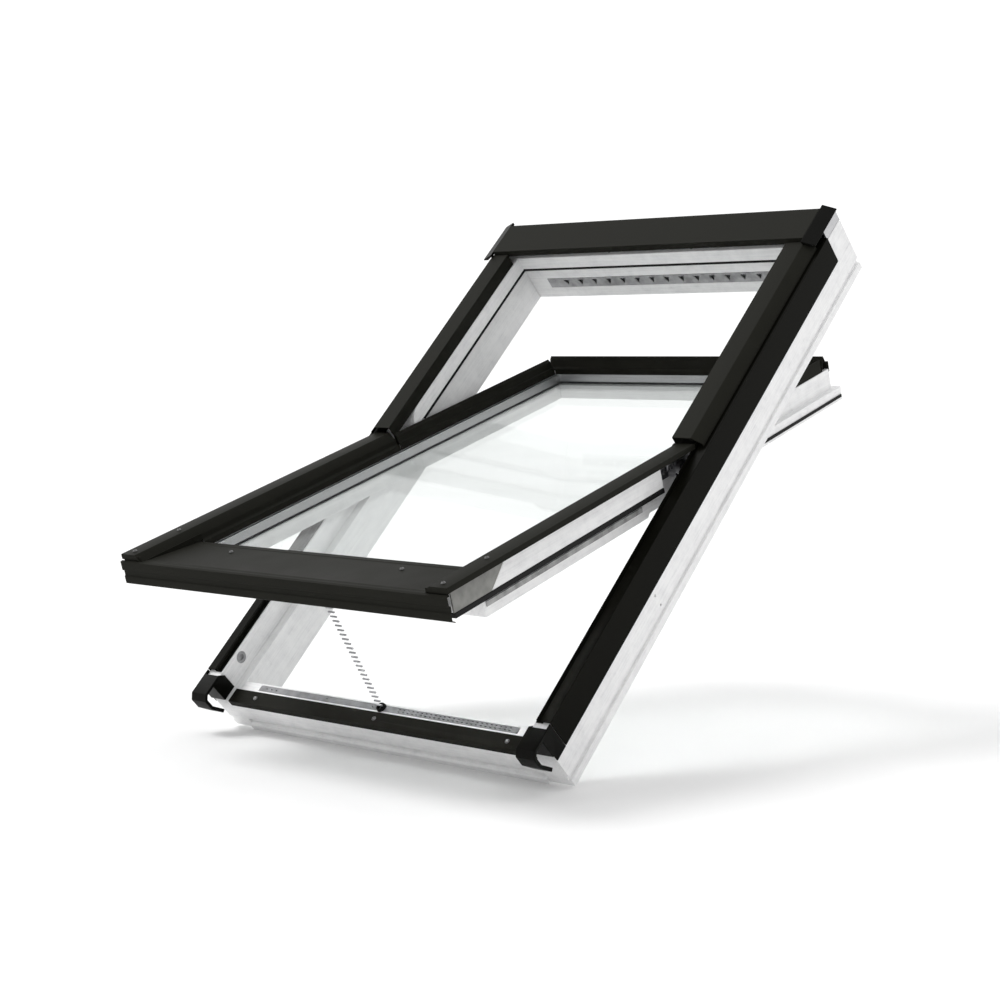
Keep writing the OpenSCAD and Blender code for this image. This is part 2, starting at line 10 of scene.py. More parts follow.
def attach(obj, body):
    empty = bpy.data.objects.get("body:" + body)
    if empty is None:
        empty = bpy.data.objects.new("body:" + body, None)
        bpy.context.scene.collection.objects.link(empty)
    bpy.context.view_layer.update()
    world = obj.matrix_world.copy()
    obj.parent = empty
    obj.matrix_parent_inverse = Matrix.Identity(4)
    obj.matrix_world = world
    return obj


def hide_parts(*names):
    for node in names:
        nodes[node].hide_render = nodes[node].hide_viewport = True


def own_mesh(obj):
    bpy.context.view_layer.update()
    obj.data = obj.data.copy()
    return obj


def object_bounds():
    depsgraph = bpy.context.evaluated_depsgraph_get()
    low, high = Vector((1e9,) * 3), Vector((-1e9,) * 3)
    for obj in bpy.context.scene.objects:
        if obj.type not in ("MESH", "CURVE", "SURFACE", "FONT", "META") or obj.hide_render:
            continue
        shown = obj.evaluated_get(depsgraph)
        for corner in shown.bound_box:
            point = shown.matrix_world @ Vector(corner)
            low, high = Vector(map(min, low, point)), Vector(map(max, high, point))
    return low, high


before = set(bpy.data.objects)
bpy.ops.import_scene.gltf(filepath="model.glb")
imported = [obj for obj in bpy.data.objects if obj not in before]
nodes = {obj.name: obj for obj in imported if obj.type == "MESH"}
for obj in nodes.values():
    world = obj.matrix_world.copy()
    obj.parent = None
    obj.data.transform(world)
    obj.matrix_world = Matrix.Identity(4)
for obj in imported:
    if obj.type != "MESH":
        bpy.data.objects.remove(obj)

cad_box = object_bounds()

# ---- Studio: camera, pale floor, soft light ----
# The pale floor touches the foot of the frame.  One broad soft lamp stands high
# on the left, and a white surround, brightest behind the window, fills the rest.
scene = bpy.context.scene
scene.view_settings.view_transform = "Standard"
camera = bpy.data.objects.new("camera", bpy.data.cameras.new("camera"))
camera.location = (2.2216, -2.2782, 0.6346)
camera.rotation_euler = (1.49502, 0.00058, 0.70997)
camera.data.lens = 69.65
camera.data.sensor_width = 36
scene.collection.objects.link(camera)
scene.camera = camera


def shader(material, kind, inputs=(), **settings):
    """One shader node with its settings and unlinked or linked inputs."""
    node = material.node_tree.nodes.new("ShaderNode" + kind)
    for name, value in settings.items():
        setattr(node, name, value)
    for name, value in dict(inputs).items():
        if isinstance(value, bpy.types.NodeSocket):
            material.node_tree.links.new(value, node.inputs[name])
        else:
            node.inputs[name].default_value = value
    return node


def finish_of(name, **constant):
    """A material with its Principled shader's plain values set."""
    material = bpy.data.materials.new(name)
    material.use_nodes = True
    surface = material.node_tree.nodes["Principled BSDF"]
    for socket, value in constant.items():
        surface.inputs[socket.replace("_", " ")].default_value = value
    return material, surface


def linked(material, surface, **sockets):
    """Joins node outputs to the shader's sockets."""
    for socket, output in sockets.items():
        material.node_tree.links.new(output, surface.inputs[socket.replace("_", " ")])


def tones(material, driver, stops):
    """A colour ramp over a 0..1 value."""
    ramp = shader(material, "ValToRGB", {"Fac": driver})
    while len(ramp.color_ramp.elements) < len(stops):
        ramp.color_ramp.elements.new(0.5)
    for element, (place, colour) in zip(ramp.color_ramp.elements, stops):
        element.position = place
        element.color = (*colour, 1)
    return ramp.outputs["Color"]


floor_paint, surface = finish_of("floor_paint", Roughness=0.9)
spot = shader(floor_paint, "TexCoord").outputs["Object"]
cloud = shader(floor_paint, "TexNoise", {"Vector": spot, "Scale": 1.5, "Detail": 3})
linked(floor_paint, surface, Base_Color=tones(floor_paint, cloud.outputs["Fac"],
       [(0.3, (0.86, 0.86, 0.86)), (0.7, (0.9, 0.9, 0.9))]))
floor_mesh = bpy.data.meshes.new("floor")
floor_z, floor_reach = cad_box[0].z, 30
floor_mesh.from_pydata([(x * floor_reach, y * floor_reach, floor_z)
                        for x, y in ((-1, -1), (1, -1), (1, 1), (-1, 1))], [], [(0, 1, 2, 3)])
floor_mesh.materials.append(floor_paint)
floor = bpy.data.objects.new("floor", floor_mesh)
scene.collection.objects.link(floor)

world = bpy.data.worlds.new("surround")
scene.world = world
world.use_nodes = True
world.node_tree.nodes["Background"].inputs["Color"].default_value = (1, 1, 1, 1)
brightest_way = (-0.62, 0.72, 0.32)
around = shader(world, "TexCoord").outputs["Generated"]
toward = shader(world, "VectorMath", {0: around, 1: brightest_way}, operation="DOT_PRODUCT")
level = shader(world, "MapRange", {"Value": toward.outputs["Value"], "From Min": -0.9,
                                   "From Max": 0.45, "To Min": 0.55, "To Max": 1.12})
world.node_tree.links.new(level.outputs["Result"],
                          world.node_tree.nodes["Background"].inputs["Strength"])
lamp_way = Vector((0.62, 0.28, -1))
lamp = bpy.data.objects.new("lamp", bpy.data.lights.new("lamp", "SUN"))
lamp.data.energy = 1.3
lamp.data.angle = radians(22)
lamp.rotation_euler = lamp_way.to_track_quat("-Z", "Y").to_euler()
scene.collection.objects.link(lamp)

# ---- Frame timber ----
# Two stiles, two rails and the stop lists: finger-jointed pine, machined, edges
# eased with sandpaper, glued and screwed at the corners, then lacquered white.
pitch = radians(44.3)


def lacquered_timber(name, turn, stretch):
    """White lacquer over pine; turn and stretch lay the grain along the board."""
    material, surface = finish_of(name, Coat_Weight=0.15, Coat_Roughness=0.3,
                                  Specular_IOR_Level=0.4)
    spot = shader(material, "TexCoord").outputs["Object"]
    laid = shader(material, "Mapping", {"Vector": spot, "Rotation": (-turn, 0, 0)})
    long_ = shader(material, "Mapping", {"Vector": laid.outputs["Vector"], "Scale": stretch})
    grain = shader(material, "TexNoise", {"Vector": long_.outputs["Vector"], "Scale": 2.2,
                                          "Detail": 6, "Roughness": 0.65})
    fibre = shader(material, "TexNoise", {"Vector": long_.outputs["Vector"], "Scale": 9,
                                          "Detail": 3, "Roughness": 0.6})
    blotch = shader(material, "TexNoise", {"Vector": laid.outputs["Vector"], "Scale": 40,
                                           "Detail": 5, "Roughness": 0.7})
    mixed = shader(material, "Math", {0: grain.outputs["Fac"], 1: blotch.outputs["Fac"]},
                   operation="ADD")
    mean = shader(material, "Math", {0: mixed.outputs[0], 1: 0.5}, operation="MULTIPLY")
    linked(material, surface, Base_Color=tones(material, mean.outputs[0], [
        (0.30, (0.66, 0.66, 0.665)), (0.42, (0.80, 0.80, 0.805)), (0.55, (0.88, 0.88, 0.88)),
        (0.75, (0.92, 0.92, 0.915))]))
    rough = shader(material, "MapRange", {"Value": fibre.outputs["Fac"], "To Min": 0.32,
                                          "To Max": 0.55})
    both = shader(material, "Math", {0: grain.outputs["Fac"], 1: fibre.outputs["Fac"]},
                  operation="ADD")
    bump = shader(material, "Bump", {"Height": both.outputs[0], "Strength": 0.35,
                                     "Distance": 0.0006})
    linked(material, surface, Roughness=rough.outputs["Result"], Normal=bump.outputs["Normal"])
    return material


def eased(node, body, material, slot_name, width, press=None):
    """A CAD piece with its sharp edges rounded, standing for the plain one."""
    flat_angle, sharp_angle = radians(0.6), radians(25)
    form = bmesh.new()
    form.from_mesh(nodes[node].data)
    bmesh.ops.remove_doubles(form, verts=form.verts, dist=2e-6)
    bmesh.ops.dissolve_limit(form, angle_limit=flat_angle, verts=form.verts, edges=form.edges)
    sharp = [e for e in form.edges if e.is_manifold and e.calc_face_angle(0) > sharp_angle]
    bmesh.ops.bevel(form, geom=sharp, offset=width, segments=2, affect="EDGES",
                    profile=0.5, clamp_overlap=True, loop_slide=True)
    bmesh.ops.remove_doubles(form, verts=form.verts, dist=1e-6)
    if press:
        press(form)
    mesh = bpy.data.meshes.new(node + "_eased")
    form.to_mesh(mesh)
    form.free()
    return stand_in(mesh, node + "_eased", body, material, slot_name, node)


def stand_in(mesh, name, body, material, slot_name, *cad_nodes):
    """Links a finished mesh, gives it its material and body, hides what it stands for."""
    crisp_angle = radians(22)
    mesh.shade_smooth()
    mesh.set_sharp_from_angle(angle=crisp_angle)
    mesh.materials.clear()
    mesh.materials.append(material)
    piece = bpy.data.objects.new(name, mesh)
    scene.collection.objects.link(piece)
    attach(piece, body)
    if cad_nodes:
        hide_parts(*cad_nodes)
    return piece


grain_up, grain_across = (120, 4, 120), (4, 120, 120)
up_slope_timber = lacquered_timber("up_slope_timber", pitch, grain_up)
cross_timber = lacquered_timber("cross_timber", pitch, grain_across)
for node in ("frame_stile_left", "frame_stile_right", "stop_list_left", "stop_list_right"):
    eased(node, "frame", up_slope_timber, "white_timber", 0.0016)
for node in ("frame_top_rail", "frame_bottom_rail", "stop_list_top"):
    eased(node, "frame", cross_timber, "white_timber", 0.0014)

# ---- Gutter, covers and hood of the frame ----
# Roll-formed aluminium sheet with a dark powder coat, clipped and screwed on
# outside the timber once it is lacquered.  The gutter's corners and the hood's
# ends are black mouldings; a bare carrier strip holds the hood.


def powder_coat(name, dark, light, rough, gloss=0.16):
    """A dark coat with faint clouds and orange peel; gloss is its specular level."""
    material, surface = finish_of(name, Specular_IOR_Level=gloss)
    spot = shader(material, "TexCoord").outputs["Object"]
    cloud = shader(material, "TexNoise", {"Vector": spot, "Scale": 14, "Detail": 4})
    peel = shader(material, "TexNoise", {"Vector": spot, "Scale": 900, "Detail": 2})
    mixed = shader(material, "Math", {0: cloud.outputs["Fac"], 1: 0.7, 2: peel.outputs["Fac"]},
                   operation="MULTIPLY_ADD")
    shade = shader(material, "Math", {0: mixed.outputs[0], 1: 0.55}, operation="MULTIPLY")
    linked(material, surface, Base_Color=tones(material, shade.outputs[0], [
        (0.3, dark), (0.7, light)]))
    rough_map = shader(material, "MapRange", {"Value": cloud.outputs["Fac"],
                                              "To Min": rough - 0.07, "To Max": rough + 0.07})
    bump = shader(material, "Bump", {"Height": peel.outputs["Fac"], "Strength": 0.25,
                                     "Distance": 0.0002})
    linked(material, surface, Roughness=rough_map.outputs["Result"],
           Normal=bump.outputs["Normal"])
    return material


dark_coat = powder_coat("dark_coat", (0.012, 0.012, 0.0095), (0.017, 0.017, 0.0138), 0.45, 0.025)
for node in ("upper_cover_left", "upper_cover_right", "hood", "frame_bottom_cover"):
    eased(node, "frame", dark_coat, "dark_cladding", 0.0006)
# The gutter profiles get a darker copy of the covers' coat: painted shade for their side faces,
# which turn away from the lamp.
gutter_coat = powder_coat("gutter_coat", (0.003, 0.003, 0.002), (0.006, 0.006, 0.004), 0.42, 0.03)
for node in ("gutter_profile_left", "gutter_profile_right"):
    eased(node, "frame", gutter_coat, "dark_cladding", 0.0006)

moulded_black = powder_coat("moulded_black", (0.003, 0.003, 0.0025), (0.006, 0.006, 0.005),
                            0.38, 0.05)
for node in ("gutter_corner_left", "gutter_corner_right", "hood_end_left", "hood_end_right"):
    eased(node, "frame", moulded_black, "black_plastic", 0.0009)


def brushed_metal(name, dark, light, rough, turn):
    """Mill-finish metal with fine drawing lines."""
    material, surface = finish_of(name, Metallic=1.0)
    spot = shader(material, "TexCoord").outputs["Object"]
    laid = shader(material, "Mapping", {"Vector": spot, "Rotation": (-turn, 0, 0),
                                        "Scale": (3, 260, 260)})
    line = shader(material, "TexNoise", {"Vector": laid.outputs["Vector"], "Scale": 4,
                                         "Detail": 4})
    linked(material, surface, Base_Color=tones(material, line.outputs["Fac"],
                                               [(0.3, dark), (0.7, light)]))
    rough_map = shader(material, "MapRange", {"Value": line.outputs["Fac"],
                                              "To Min": rough - 0.08, "To Max": rough + 0.1})
    bump = shader(material, "Bump", {"Height": line.outputs["Fac"], "Strength": 0.2,
                                     "Distance": 0.0002})
    linked(material, surface, Roughness=rough_map.outputs["Result"],
           Normal=bump.outputs["Normal"])
    return material


bare_aluminium = brushed_metal("bare_aluminium", (0.46, 0.46, 0.47), (0.62, 0.62, 0.63),
                               0.42, pitch)
eased("hood_carrier", "frame", bare_aluminium, "bare_aluminium", 0.0004)

# ---- Frame gasket ----
# One extruded black rubber strip for three sides, pushed into a groove under
# the stop lists; the shut sash presses on it.
rubber = powder_coat("rubber", (0.006, 0.006, 0.006), (0.012, 0.012, 0.012), 0.62)
eased("frame_gasket", "frame", rubber, "black_rubber", 0.0018)

# ---- Ventilator ----
# Moulded grey grille with triangular air holes, set into the top rail.  A dark
# moulded shutter of the same pattern slides behind it.


def moulded_grey(name, dark, light):
    """Grey moulded plastic with a cloudy tone and a fine sparked surface."""
    material, surface = finish_of(name, Specular_IOR_Level=0.4)
    spot = shader(material, "TexCoord").outputs["Object"]
    cloud = shader(material, "TexNoise", {"Vector": spot, "Scale": 60, "Detail": 5})
    fine = shader(material, "TexNoise", {"Vector": spot, "Scale": 1400, "Detail": 1})
    linked(material, surface, Base_Color=tones(material, cloud.outputs["Fac"],
                                               [(0.35, dark), (0.65, light)]))
    rough_map = shader(material, "MapRange", {"Value": cloud.outputs["Fac"],
                                              "To Min": 0.38, "To Max": 0.55})
    bump = shader(material, "Bump", {"Height": fine.outputs["Fac"], "Strength": 0.3,
                                     "Distance": 0.0001})
    linked(material, surface, Roughness=rough_map.outputs["Result"],
           Normal=bump.outputs["Normal"])
    return material


vent_grey = moulded_grey("vent_grey", (0.22, 0.22, 0.225), (0.40, 0.40, 0.41))
eased("ventilator_grille", "frame", vent_grey, "grey_plastic", 0.0004)
shutter_grey = moulded_grey("shutter_grey", (0.03, 0.03, 0.03), (0.05, 0.05, 0.05))
eased("ventilator_shutter", "shutter", shutter_grey, "grey_plastic", 0.0003)

# ---- Chain drive ----
# The drive lies in a black housing let into the bottom rail.  A slotted strip
# of moulded grey plastic covers it flush, and the chain leaves by a nozzle.

# Window plane: x across, y up the slope, z outwards from the room side.
room_side = -0.045
window = Matrix.Rotation(pitch, 4, "X") @ Matrix.Translation((0, 0, room_side))
eased("drive_housing", "frame", moulded_black, "black_plastic", 0.0005)
cover_grey = moulded_grey("cover_grey", (0.17, 0.17, 0.175), (0.27, 0.27, 0.28))


def punched_plate(name, outline, holes, low, high, place):
    """A flat plate with holes right through it, laid in the plane of place."""
    curve = bpy.data.curves.new(name, "CURVE")
    curve.dimensions = "2D"
    curve.fill_mode = "BOTH"
    curve.extrude = (high - low) / 2
    for ring in [outline, *holes]:
        spline = curve.splines.new("POLY")
        spline.points.add(len(ring) - 1)
        for point, (x, y) in zip(spline.points, ring):
            point.co = (x, y, 0, 1)
        spline.use_cyclic_u = True
    shape = bpy.data.objects.new(name, curve)
    mesh = bpy.data.meshes.new_from_object(shape)
    bpy.data.objects.remove(shape)
    mesh.transform(place @ Matrix.Translation((0, 0, (low + high) / 2)))
    return mesh


def slot_ring(x, y, length, width, steps=6):
    """A round-ended slot, as points round its edge."""
    reach = (length - width) / 2
    turns = [(1, -pi / 2 + pi * k / steps) for k in range(steps + 1)]
    turns += [(-1, pi / 2 + pi * k / steps) for k in range(steps + 1)]
    return [(x + side * reach + width / 2 * cos(a), y + width / 2 * sin(a)) for side, a in turns]


strip_y, strip_length, strip_width = 0.036, 0.595, 0.0118
strip_low, strip_high = 0.0727, 0.0755
chain_gap = 0.0049
square_gap = [(-chain_gap, strip_y - chain_gap), (chain_gap, strip_y - chain_gap),
              (chain_gap, strip_y + chain_gap), (-chain_gap, strip_y + chain_gap)]
slots = [slot_ring(x / 1000, strip_y + row, 0.0055, 0.0018)
         for row in (-0.0026, 0.0026) for x in range(40, 286, 10)]
slots += [slot_ring(x / 1000, strip_y, 0.004, 0.002) for x in (-280, -268, -256, -130, -22)]
strip = punched_plate("drive_cover_strip", slot_ring(0, strip_y, strip_length, strip_width, 14),
                      [square_gap, *slots], strip_low, strip_high, window)
stand_in(strip, "drive_cover_strip", "frame", cover_grey, "grey_plastic", "drive_cover")
eased("chain_nozzle", "frame", moulded_black, "black_plastic", 0.0005)

# ---- Push chain ----
# Pairs of stamped steel link plates, inner and outer by turns, riveted on pins.
# It stiffens one way, pushes the sash open and runs into its housing to shut it.

# Sash plane: the window's axes about the pivot, turned open.
opening = radians(27.5)
pivot_up, pivot_out = 0.571, 0.109
on_sash = window @ Matrix.Translation((0, pivot_up, pivot_out))
on_sash = on_sash @ Matrix.Rotation(-opening, 4, "X")
chain_steel = brushed_metal("chain_steel", (0.25, 0.25, 0.26), (0.42, 0.42, 0.43), 0.35, pitch)


def tree_of(name, sizes):
    """An empty node tree with named inputs, one geometry in and one out."""
    tree = bpy.data.node_groups.new(name, "GeometryNodeTree")
    tree.interface.new_socket("Geometry", in_out="INPUT", socket_type="NodeSocketGeometry")
    for label, kind, value in sizes:
        made = tree.interface.new_socket(label, in_out="INPUT", socket_type="NodeSocket" + kind)
        if value is not None:
            made.default_value = value
    tree.interface.new_socket("Geometry", in_out="OUTPUT", socket_type="NodeSocketGeometry")
    return tree, tree.nodes.new("NodeGroupInput").outputs, tree.nodes.new("NodeGroupOutput")


def step(tree, kind, inputs=(), **settings):
    """One node of a tree, with its inputs set or linked; several links may share a socket."""
    node = tree.nodes.new(kind)
    for label, value in settings.items():
        setattr(node, label, value)
    for label, value in dict(inputs).items():
        for one in value if isinstance(value, list) else [value]:
            if isinstance(one, bpy.types.NodeSocket):
                tree.links.new(one, node.inputs[label])
            else:
                node.inputs[label].default_value = one
    return node


def grown(tree, seed_mesh, **sizes):
    """The plain mesh that a tree makes from a seed mesh."""
    holder = bpy.data.objects.new("holder", seed_mesh)
    scene.collection.objects.link(holder)
    modifier = holder.modifiers.new("grow", "NODES")
    modifier.node_group = tree
    for item in tree.interface.items_tree:
        if item.in_out == "INPUT" and item.name.replace(" ", "_") in sizes:
            modifier[item.identifier] = sizes[item.name.replace(" ", "_")]
    holder.update_tag()
    bpy.context.view_layer.update()
    seen = holder.evaluated_get(bpy.context.evaluated_depsgraph_get())
    mesh = bpy.data.meshes.new_from_object(seen)
    bpy.data.objects.remove(holder)
    return mesh


links, given, result = tree_of("push_chain_links", [
    ("Link Pairs", "Int", 13), ("Pitch", "Float", 0.0095), ("Plate Radius", "Float", 0.0036),
    ("Plate Thickness", "Float", 0.0015), ("Inner Gap", "Float", 0.0066),
    ("Pin Radius", "Float", 0.0017), ("Pin Length", "Float", 0.0134),
    ("Finish", "Material", None)])
double = step(links, "ShaderNodeMath", {0: given["Pitch"], 1: 2.0}, operation="MULTIPLY")
half = step(links, "ShaderNodeMath", {0: given["Pitch"], 1: 0.5}, operation="MULTIPLY")


def link_plate():
    """One obround plate across two pins, its thickness along X, its centre at the origin."""
    waist = 1.88
    width = step(links, "ShaderNodeMath", {0: given["Plate Radius"], 1: waist},
                 operation="MULTIPLY")
    straight = step(links, "ShaderNodeCombineXYZ", {
        0: given["Plate Thickness"], 1: width.outputs[0], 2: given["Pitch"]})
    ends = [step(links, "GeometryNodeMeshCube", {"Size": straight.outputs[0]}).outputs["Mesh"]]
    for sign in (1, -1):
        disc = step(links, "GeometryNodeMeshCylinder", {
            "Vertices": 16, "Radius": given["Plate Radius"], "Depth": given["Plate Thickness"]})
        away = step(links, "ShaderNodeMath", {0: half.outputs[0], 1: float(sign)},
                    operation="MULTIPLY")
        lift = step(links, "ShaderNodeCombineXYZ", {2: away.outputs[0]})
        turned = step(links, "GeometryNodeTransform", {
            "Geometry": disc.outputs["Mesh"], "Rotation": (0, pi / 2, 0),
            "Translation": lift.outputs[0]})
        ends.append(turned.outputs["Geometry"])
    plate = step(links, "GeometryNodeMeshBoolean", {"Mesh 2": ends}, operation="UNION")
    return plate.outputs["Mesh"]


rows = []
outer_clearance = 0.1
for outer in (0, 1):
    rise = step(links, "ShaderNodeMath", {0: given["Pitch"], 1: 0.5 + outer}, operation="MULTIPLY")
    first = step(links, "ShaderNodeCombineXYZ", {2: rise.outputs[0]})
    stride = step(links, "ShaderNodeCombineXYZ", {2: double.outputs[0]})
    line = step(links, "GeometryNodeMeshLine", {
        "Count": given["Link Pairs"], "Start Location": first.outputs[0],
        "Offset": stride.outputs[0]})
    layer = outer + 0.5 + outer_clearance * outer
    off = step(links, "ShaderNodeMath", {0: given["Plate Thickness"], 1: layer},
               operation="MULTIPLY")
    gap = step(links, "ShaderNodeMath", {0: given["Inner Gap"], 1: 0.5}, operation="MULTIPLY")
    side_x = step(links, "ShaderNodeMath", {0: off.outputs[0], 1: gap.outputs[0]}, operation="ADD")
    for sign in (1, -1):
        out_x = step(links, "ShaderNodeMath", {0: side_x.outputs[0], 1: float(sign)},
                     operation="MULTIPLY")
        shift = step(links, "ShaderNodeCombineXYZ", {0: out_x.outputs[0]})
        plate = step(links, "GeometryNodeTransform", {
            "Geometry": link_plate(), "Translation": shift.outputs[0]})
        rows.append(step(links, "GeometryNodeInstanceOnPoints", {
            "Points": line.outputs["Mesh"], "Instance": plate.outputs["Geometry"]}
        ).outputs["Instances"])
pins = step(links, "ShaderNodeMath", {0: given["Link Pairs"], 1: 2.0}, operation="MULTIPLY")
pin_up = step(links, "ShaderNodeCombineXYZ", {2: given["Pitch"]})
pin_line = step(links, "GeometryNodeMeshLine", {"Count": pins.outputs[0],
                                                "Offset": pin_up.outputs[0]})
pin = step(links, "GeometryNodeMeshCylinder", {
    "Vertices": 14, "Radius": given["Pin Radius"], "Depth": given["Pin Length"]})
pin_turned = step(links, "GeometryNodeTransform", {"Geometry": pin.outputs["Mesh"],
                                                   "Rotation": (0, pi / 2, 0)})
rows.append(step(links, "GeometryNodeInstanceOnPoints", {
    "Points": pin_line.outputs["Mesh"], "Instance": pin_turned.outputs["Geometry"]}
).outputs["Instances"])
joined = step(links, "GeometryNodeJoinGeometry", {"Geometry": rows})
real = step(links, "GeometryNodeRealizeInstances", {"Geometry": joined.outputs["Geometry"]})
dressed = step(links, "GeometryNodeSetMaterial", {"Geometry": real.outputs["Geometry"],
                                                  "Material": given["Finish"]})
links.links.new(dressed.outputs["Geometry"], result.inputs["Geometry"])

nozzle_top, bracket_pin = (0, strip_y, 0.0831), (0, -0.535, -0.0259)
chain_foot = window @ Vector(nozzle_top)
chain_top = on_sash @ Vector(bracket_pin)
along_chain = (chain_top - chain_foot).normalized()
across_chain = Vector((1, 0, 0))
chain_axes = Matrix((across_chain, along_chain.cross(across_chain), along_chain))
chain_frame = chain_axes.transposed().to_4x4()
chain_mesh = grown(links, bpy.data.meshes.new("chain_seed"), Finish=chain_steel)
chain_mesh.transform(Matrix.Translation(chain_foot) @ chain_frame)
chain = stand_in(chain_mesh, "push_chain_links", "chain", chain_steel, "steel", "push_chain")
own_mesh(chain)

# ---- Chain bracket ----
# Black moulded fork screwed under the sash's bottom rail; the chain's last pin
# clicks into it and can be taken out to turn the sash right over.
eased("chain_bracket", "sash", moulded_black, "black_plastic", 0.0006)

# ---- Lock and hinges ----
# Grey sockets in the stiles take the lock's bolts.  Pressed steel plates on frame
# and sash carry the pivot pins, with friction springs in housings beside them.
pin_steel = brushed_metal("pin_steel", (0.16, 0.16, 0.165), (0.3, 0.3, 0.31), 0.38, pitch)
for side in ("left", "right"):
    eased("bolt_socket_" + side, "frame", vent_grey, "grey_plastic", 0.0006)
    eased("hinge_frame_" + side, "frame", pin_steel, "dark_steel", 0.0005)
    eased("hinge_sash_" + side, "sash", pin_steel, "dark_steel", 0.0005)


def rounded_box(form, low, high, radius):
    """Adds a box with rounded edges to a mesh being built."""
    made = bmesh.ops.create_cube(form, size=1)["verts"]
    for vert in made:
        vert.co = Vector([(a + b) / 2 + c * (b - a) for a, b, c in zip(low, high, vert.co)])
    edges = {e for v in made for e in v.link_edges}
    bmesh.ops.bevel(form, geom=list(edges), offset=radius, segments=3, affect="EDGES",
                    profile=0.5)


def spring_housings(sign):
    """The friction springs' three housings and their bolts, beside the pivot on the sash."""
    seat_x, bolt_x, bolt_z, edge_radius = 0.3302, 0.3465, 0.008, 0.0022
    form = bmesh.new()
    rounded_box(form, (seat_x, -0.060, 0.001), (0.343, -0.036, 0.0145), edge_radius)
    rounded_box(form, (seat_x, -0.033, 0.003), (0.346, -0.015, 0.0155), edge_radius)
    rounded_box(form, (seat_x, 0.015, 0.000), (0.340, 0.046, 0.0135), edge_radius)
    turn = Matrix.Rotation(pi / 2, 4, "Y")
    for y in (-0.048, -0.024, 0.031):
        bolt = bmesh.ops.create_cone(form, cap_ends=True, segments=6, radius1=0.0036,
                                     radius2=0.0032, depth=0.004)["verts"]
        bmesh.ops.transform(form, matrix=Matrix.Translation((bolt_x, y, bolt_z)) @ turn,
                            verts=bolt)
    for vert in form.verts:
        vert.co.x *= sign
    bmesh.ops.recalc_face_normals(form, faces=form.faces)
    mesh = bpy.data.meshes.new("spring_housings")
    form.to_mesh(mesh)
    form.free()
    mesh.transform(on_sash)
    return mesh


for sign, side in ((-1, "left"), (1, "right")):
    stand_in(spring_housings(sign), "spring_housings_" + side, "sash", pin_steel, "dark_steel")

# ---- Sash timber ----
# Two stiles, two rails and the side lists of the lower half, pine like the frame's
# and jointed the same way; the grain lies along each board of the opened sash.
sash_timber = lacquered_timber("sash_timber", pitch - opening, grain_up)
sash_cross_timber = lacquered_timber("sash_cross_timber", pitch - opening, grain_across)
for node in ("sash_stile_left", "sash_stile_right", "sash_list_left", "sash_list_right"):
    eased(node, "sash", sash_timber, "white_timber", 0.0014)
for node in ("sash_top_rail", "sash_bottom_rail"):
    eased(node, "sash", sash_cross_timber, "white_timber", 0.0014)

# ---- Corner plates ----
# Grey moulded plates with a slanted end, fixed outside the sash's lower corners
# to shield the end grain.
plate_grey = moulded_grey("plate_grey", (0.17, 0.17, 0.16), (0.24, 0.24, 0.225))
for side in ("left", "right"):
    eased("corner_plate_" + side, "sash", plate_grey, "grey_plastic", 0.0004)

# ---- Sash seals ----
# A thick black rubber gasket and a grey lip seal, both extruded and pushed into
# grooves round the outside of the sash.
eased("sash_gasket", "sash", rubber, "black_rubber", 0.0018)
lip_grey = moulded_grey("lip_grey", (0.22, 0.22, 0.22), (0.42, 0.42, 0.42))
eased("sash_lip_seal", "sash", lip_grey, "grey_rubber", 0.001)

# ---- Sealed glazing unit ----
# Two 4 mm float glass panes on an aluminium spacer bar, bedded in the sash's rebate
# on a black seal.  The glass is clear with a trace of green.
clear_glass, surface = finish_of("clear_glass", Transmission_Weight=1.0, IOR=1.1,
                                 Specular_IOR_Level=0.15, Base_Color=(0.96, 0.975, 0.97, 1))
spot = shader(clear_glass, "TexCoord").outputs["Object"]
haze = shader(clear_glass, "TexNoise", {"Vector": spot, "Scale": 9, "Detail": 4})
haze_map = shader(clear_glass, "MapRange", {"Value": haze.outputs["Fac"], "To Min": 0.0,
                                            "To Max": 0.02})
linked(clear_glass, surface, Roughness=haze_map.outputs["Result"])
for node in ("outer_pane", "inner_pane"):
    nodes[node].data.materials.clear()
    nodes[node].data.materials.append(clear_glass)
eased("spacer_bar", "sash", bare_aluminium, "bare_aluminium", 0.0003)
eased("glazing_seal", "sash", rubber, "black_rubber", 0.0005)

# ---- Sash covers ----
# Roll-formed aluminium like the frame's: each cover's bead lies on the glass and
# screws hold it to the timber.  The bottom cover has two pressed folds, and its
# edges turn up beside the side covers.
for node in ("sash_cover_left", "sash_cover_right", "sash_upper_cover_left",
             "sash_upper_cover_right", "sash_top_cover"):
    eased(node, "sash", dark_coat, "dark_cladding", 0.0005)


def pressed_folds(form):
    """Presses a low fold across the flat at its back and near its front."""
    up = on_sash.to_3x3() @ Vector((0, 1, 0))
    out = on_sash.to_3x3() @ Vector((0, 0, 1))
    back_fold, front_fold = -0.5065, -0.6105
    half_width, height, flat_low, near = 0.0025, 0.0008, 0.009, 1e-5
    for fold in (back_fold, front_fold):
        for away in (-half_width, 0, half_width):
            bmesh.ops.bisect_plane(
                form, geom=form.verts[:] + form.edges[:] + form.faces[:], dist=1e-6,
                plane_co=on_sash @ Vector((0, fold + away, 0)), plane_no=up)
        for vert in form.verts:
            place = on_sash.inverted() @ vert.co
            if abs(place.y - fold) < near and place.z > flat_low:
                vert.co += out * height


eased("sash_bottom_cover", "sash", dark_coat, "dark_cladding", 0.0005, press=pressed_folds)


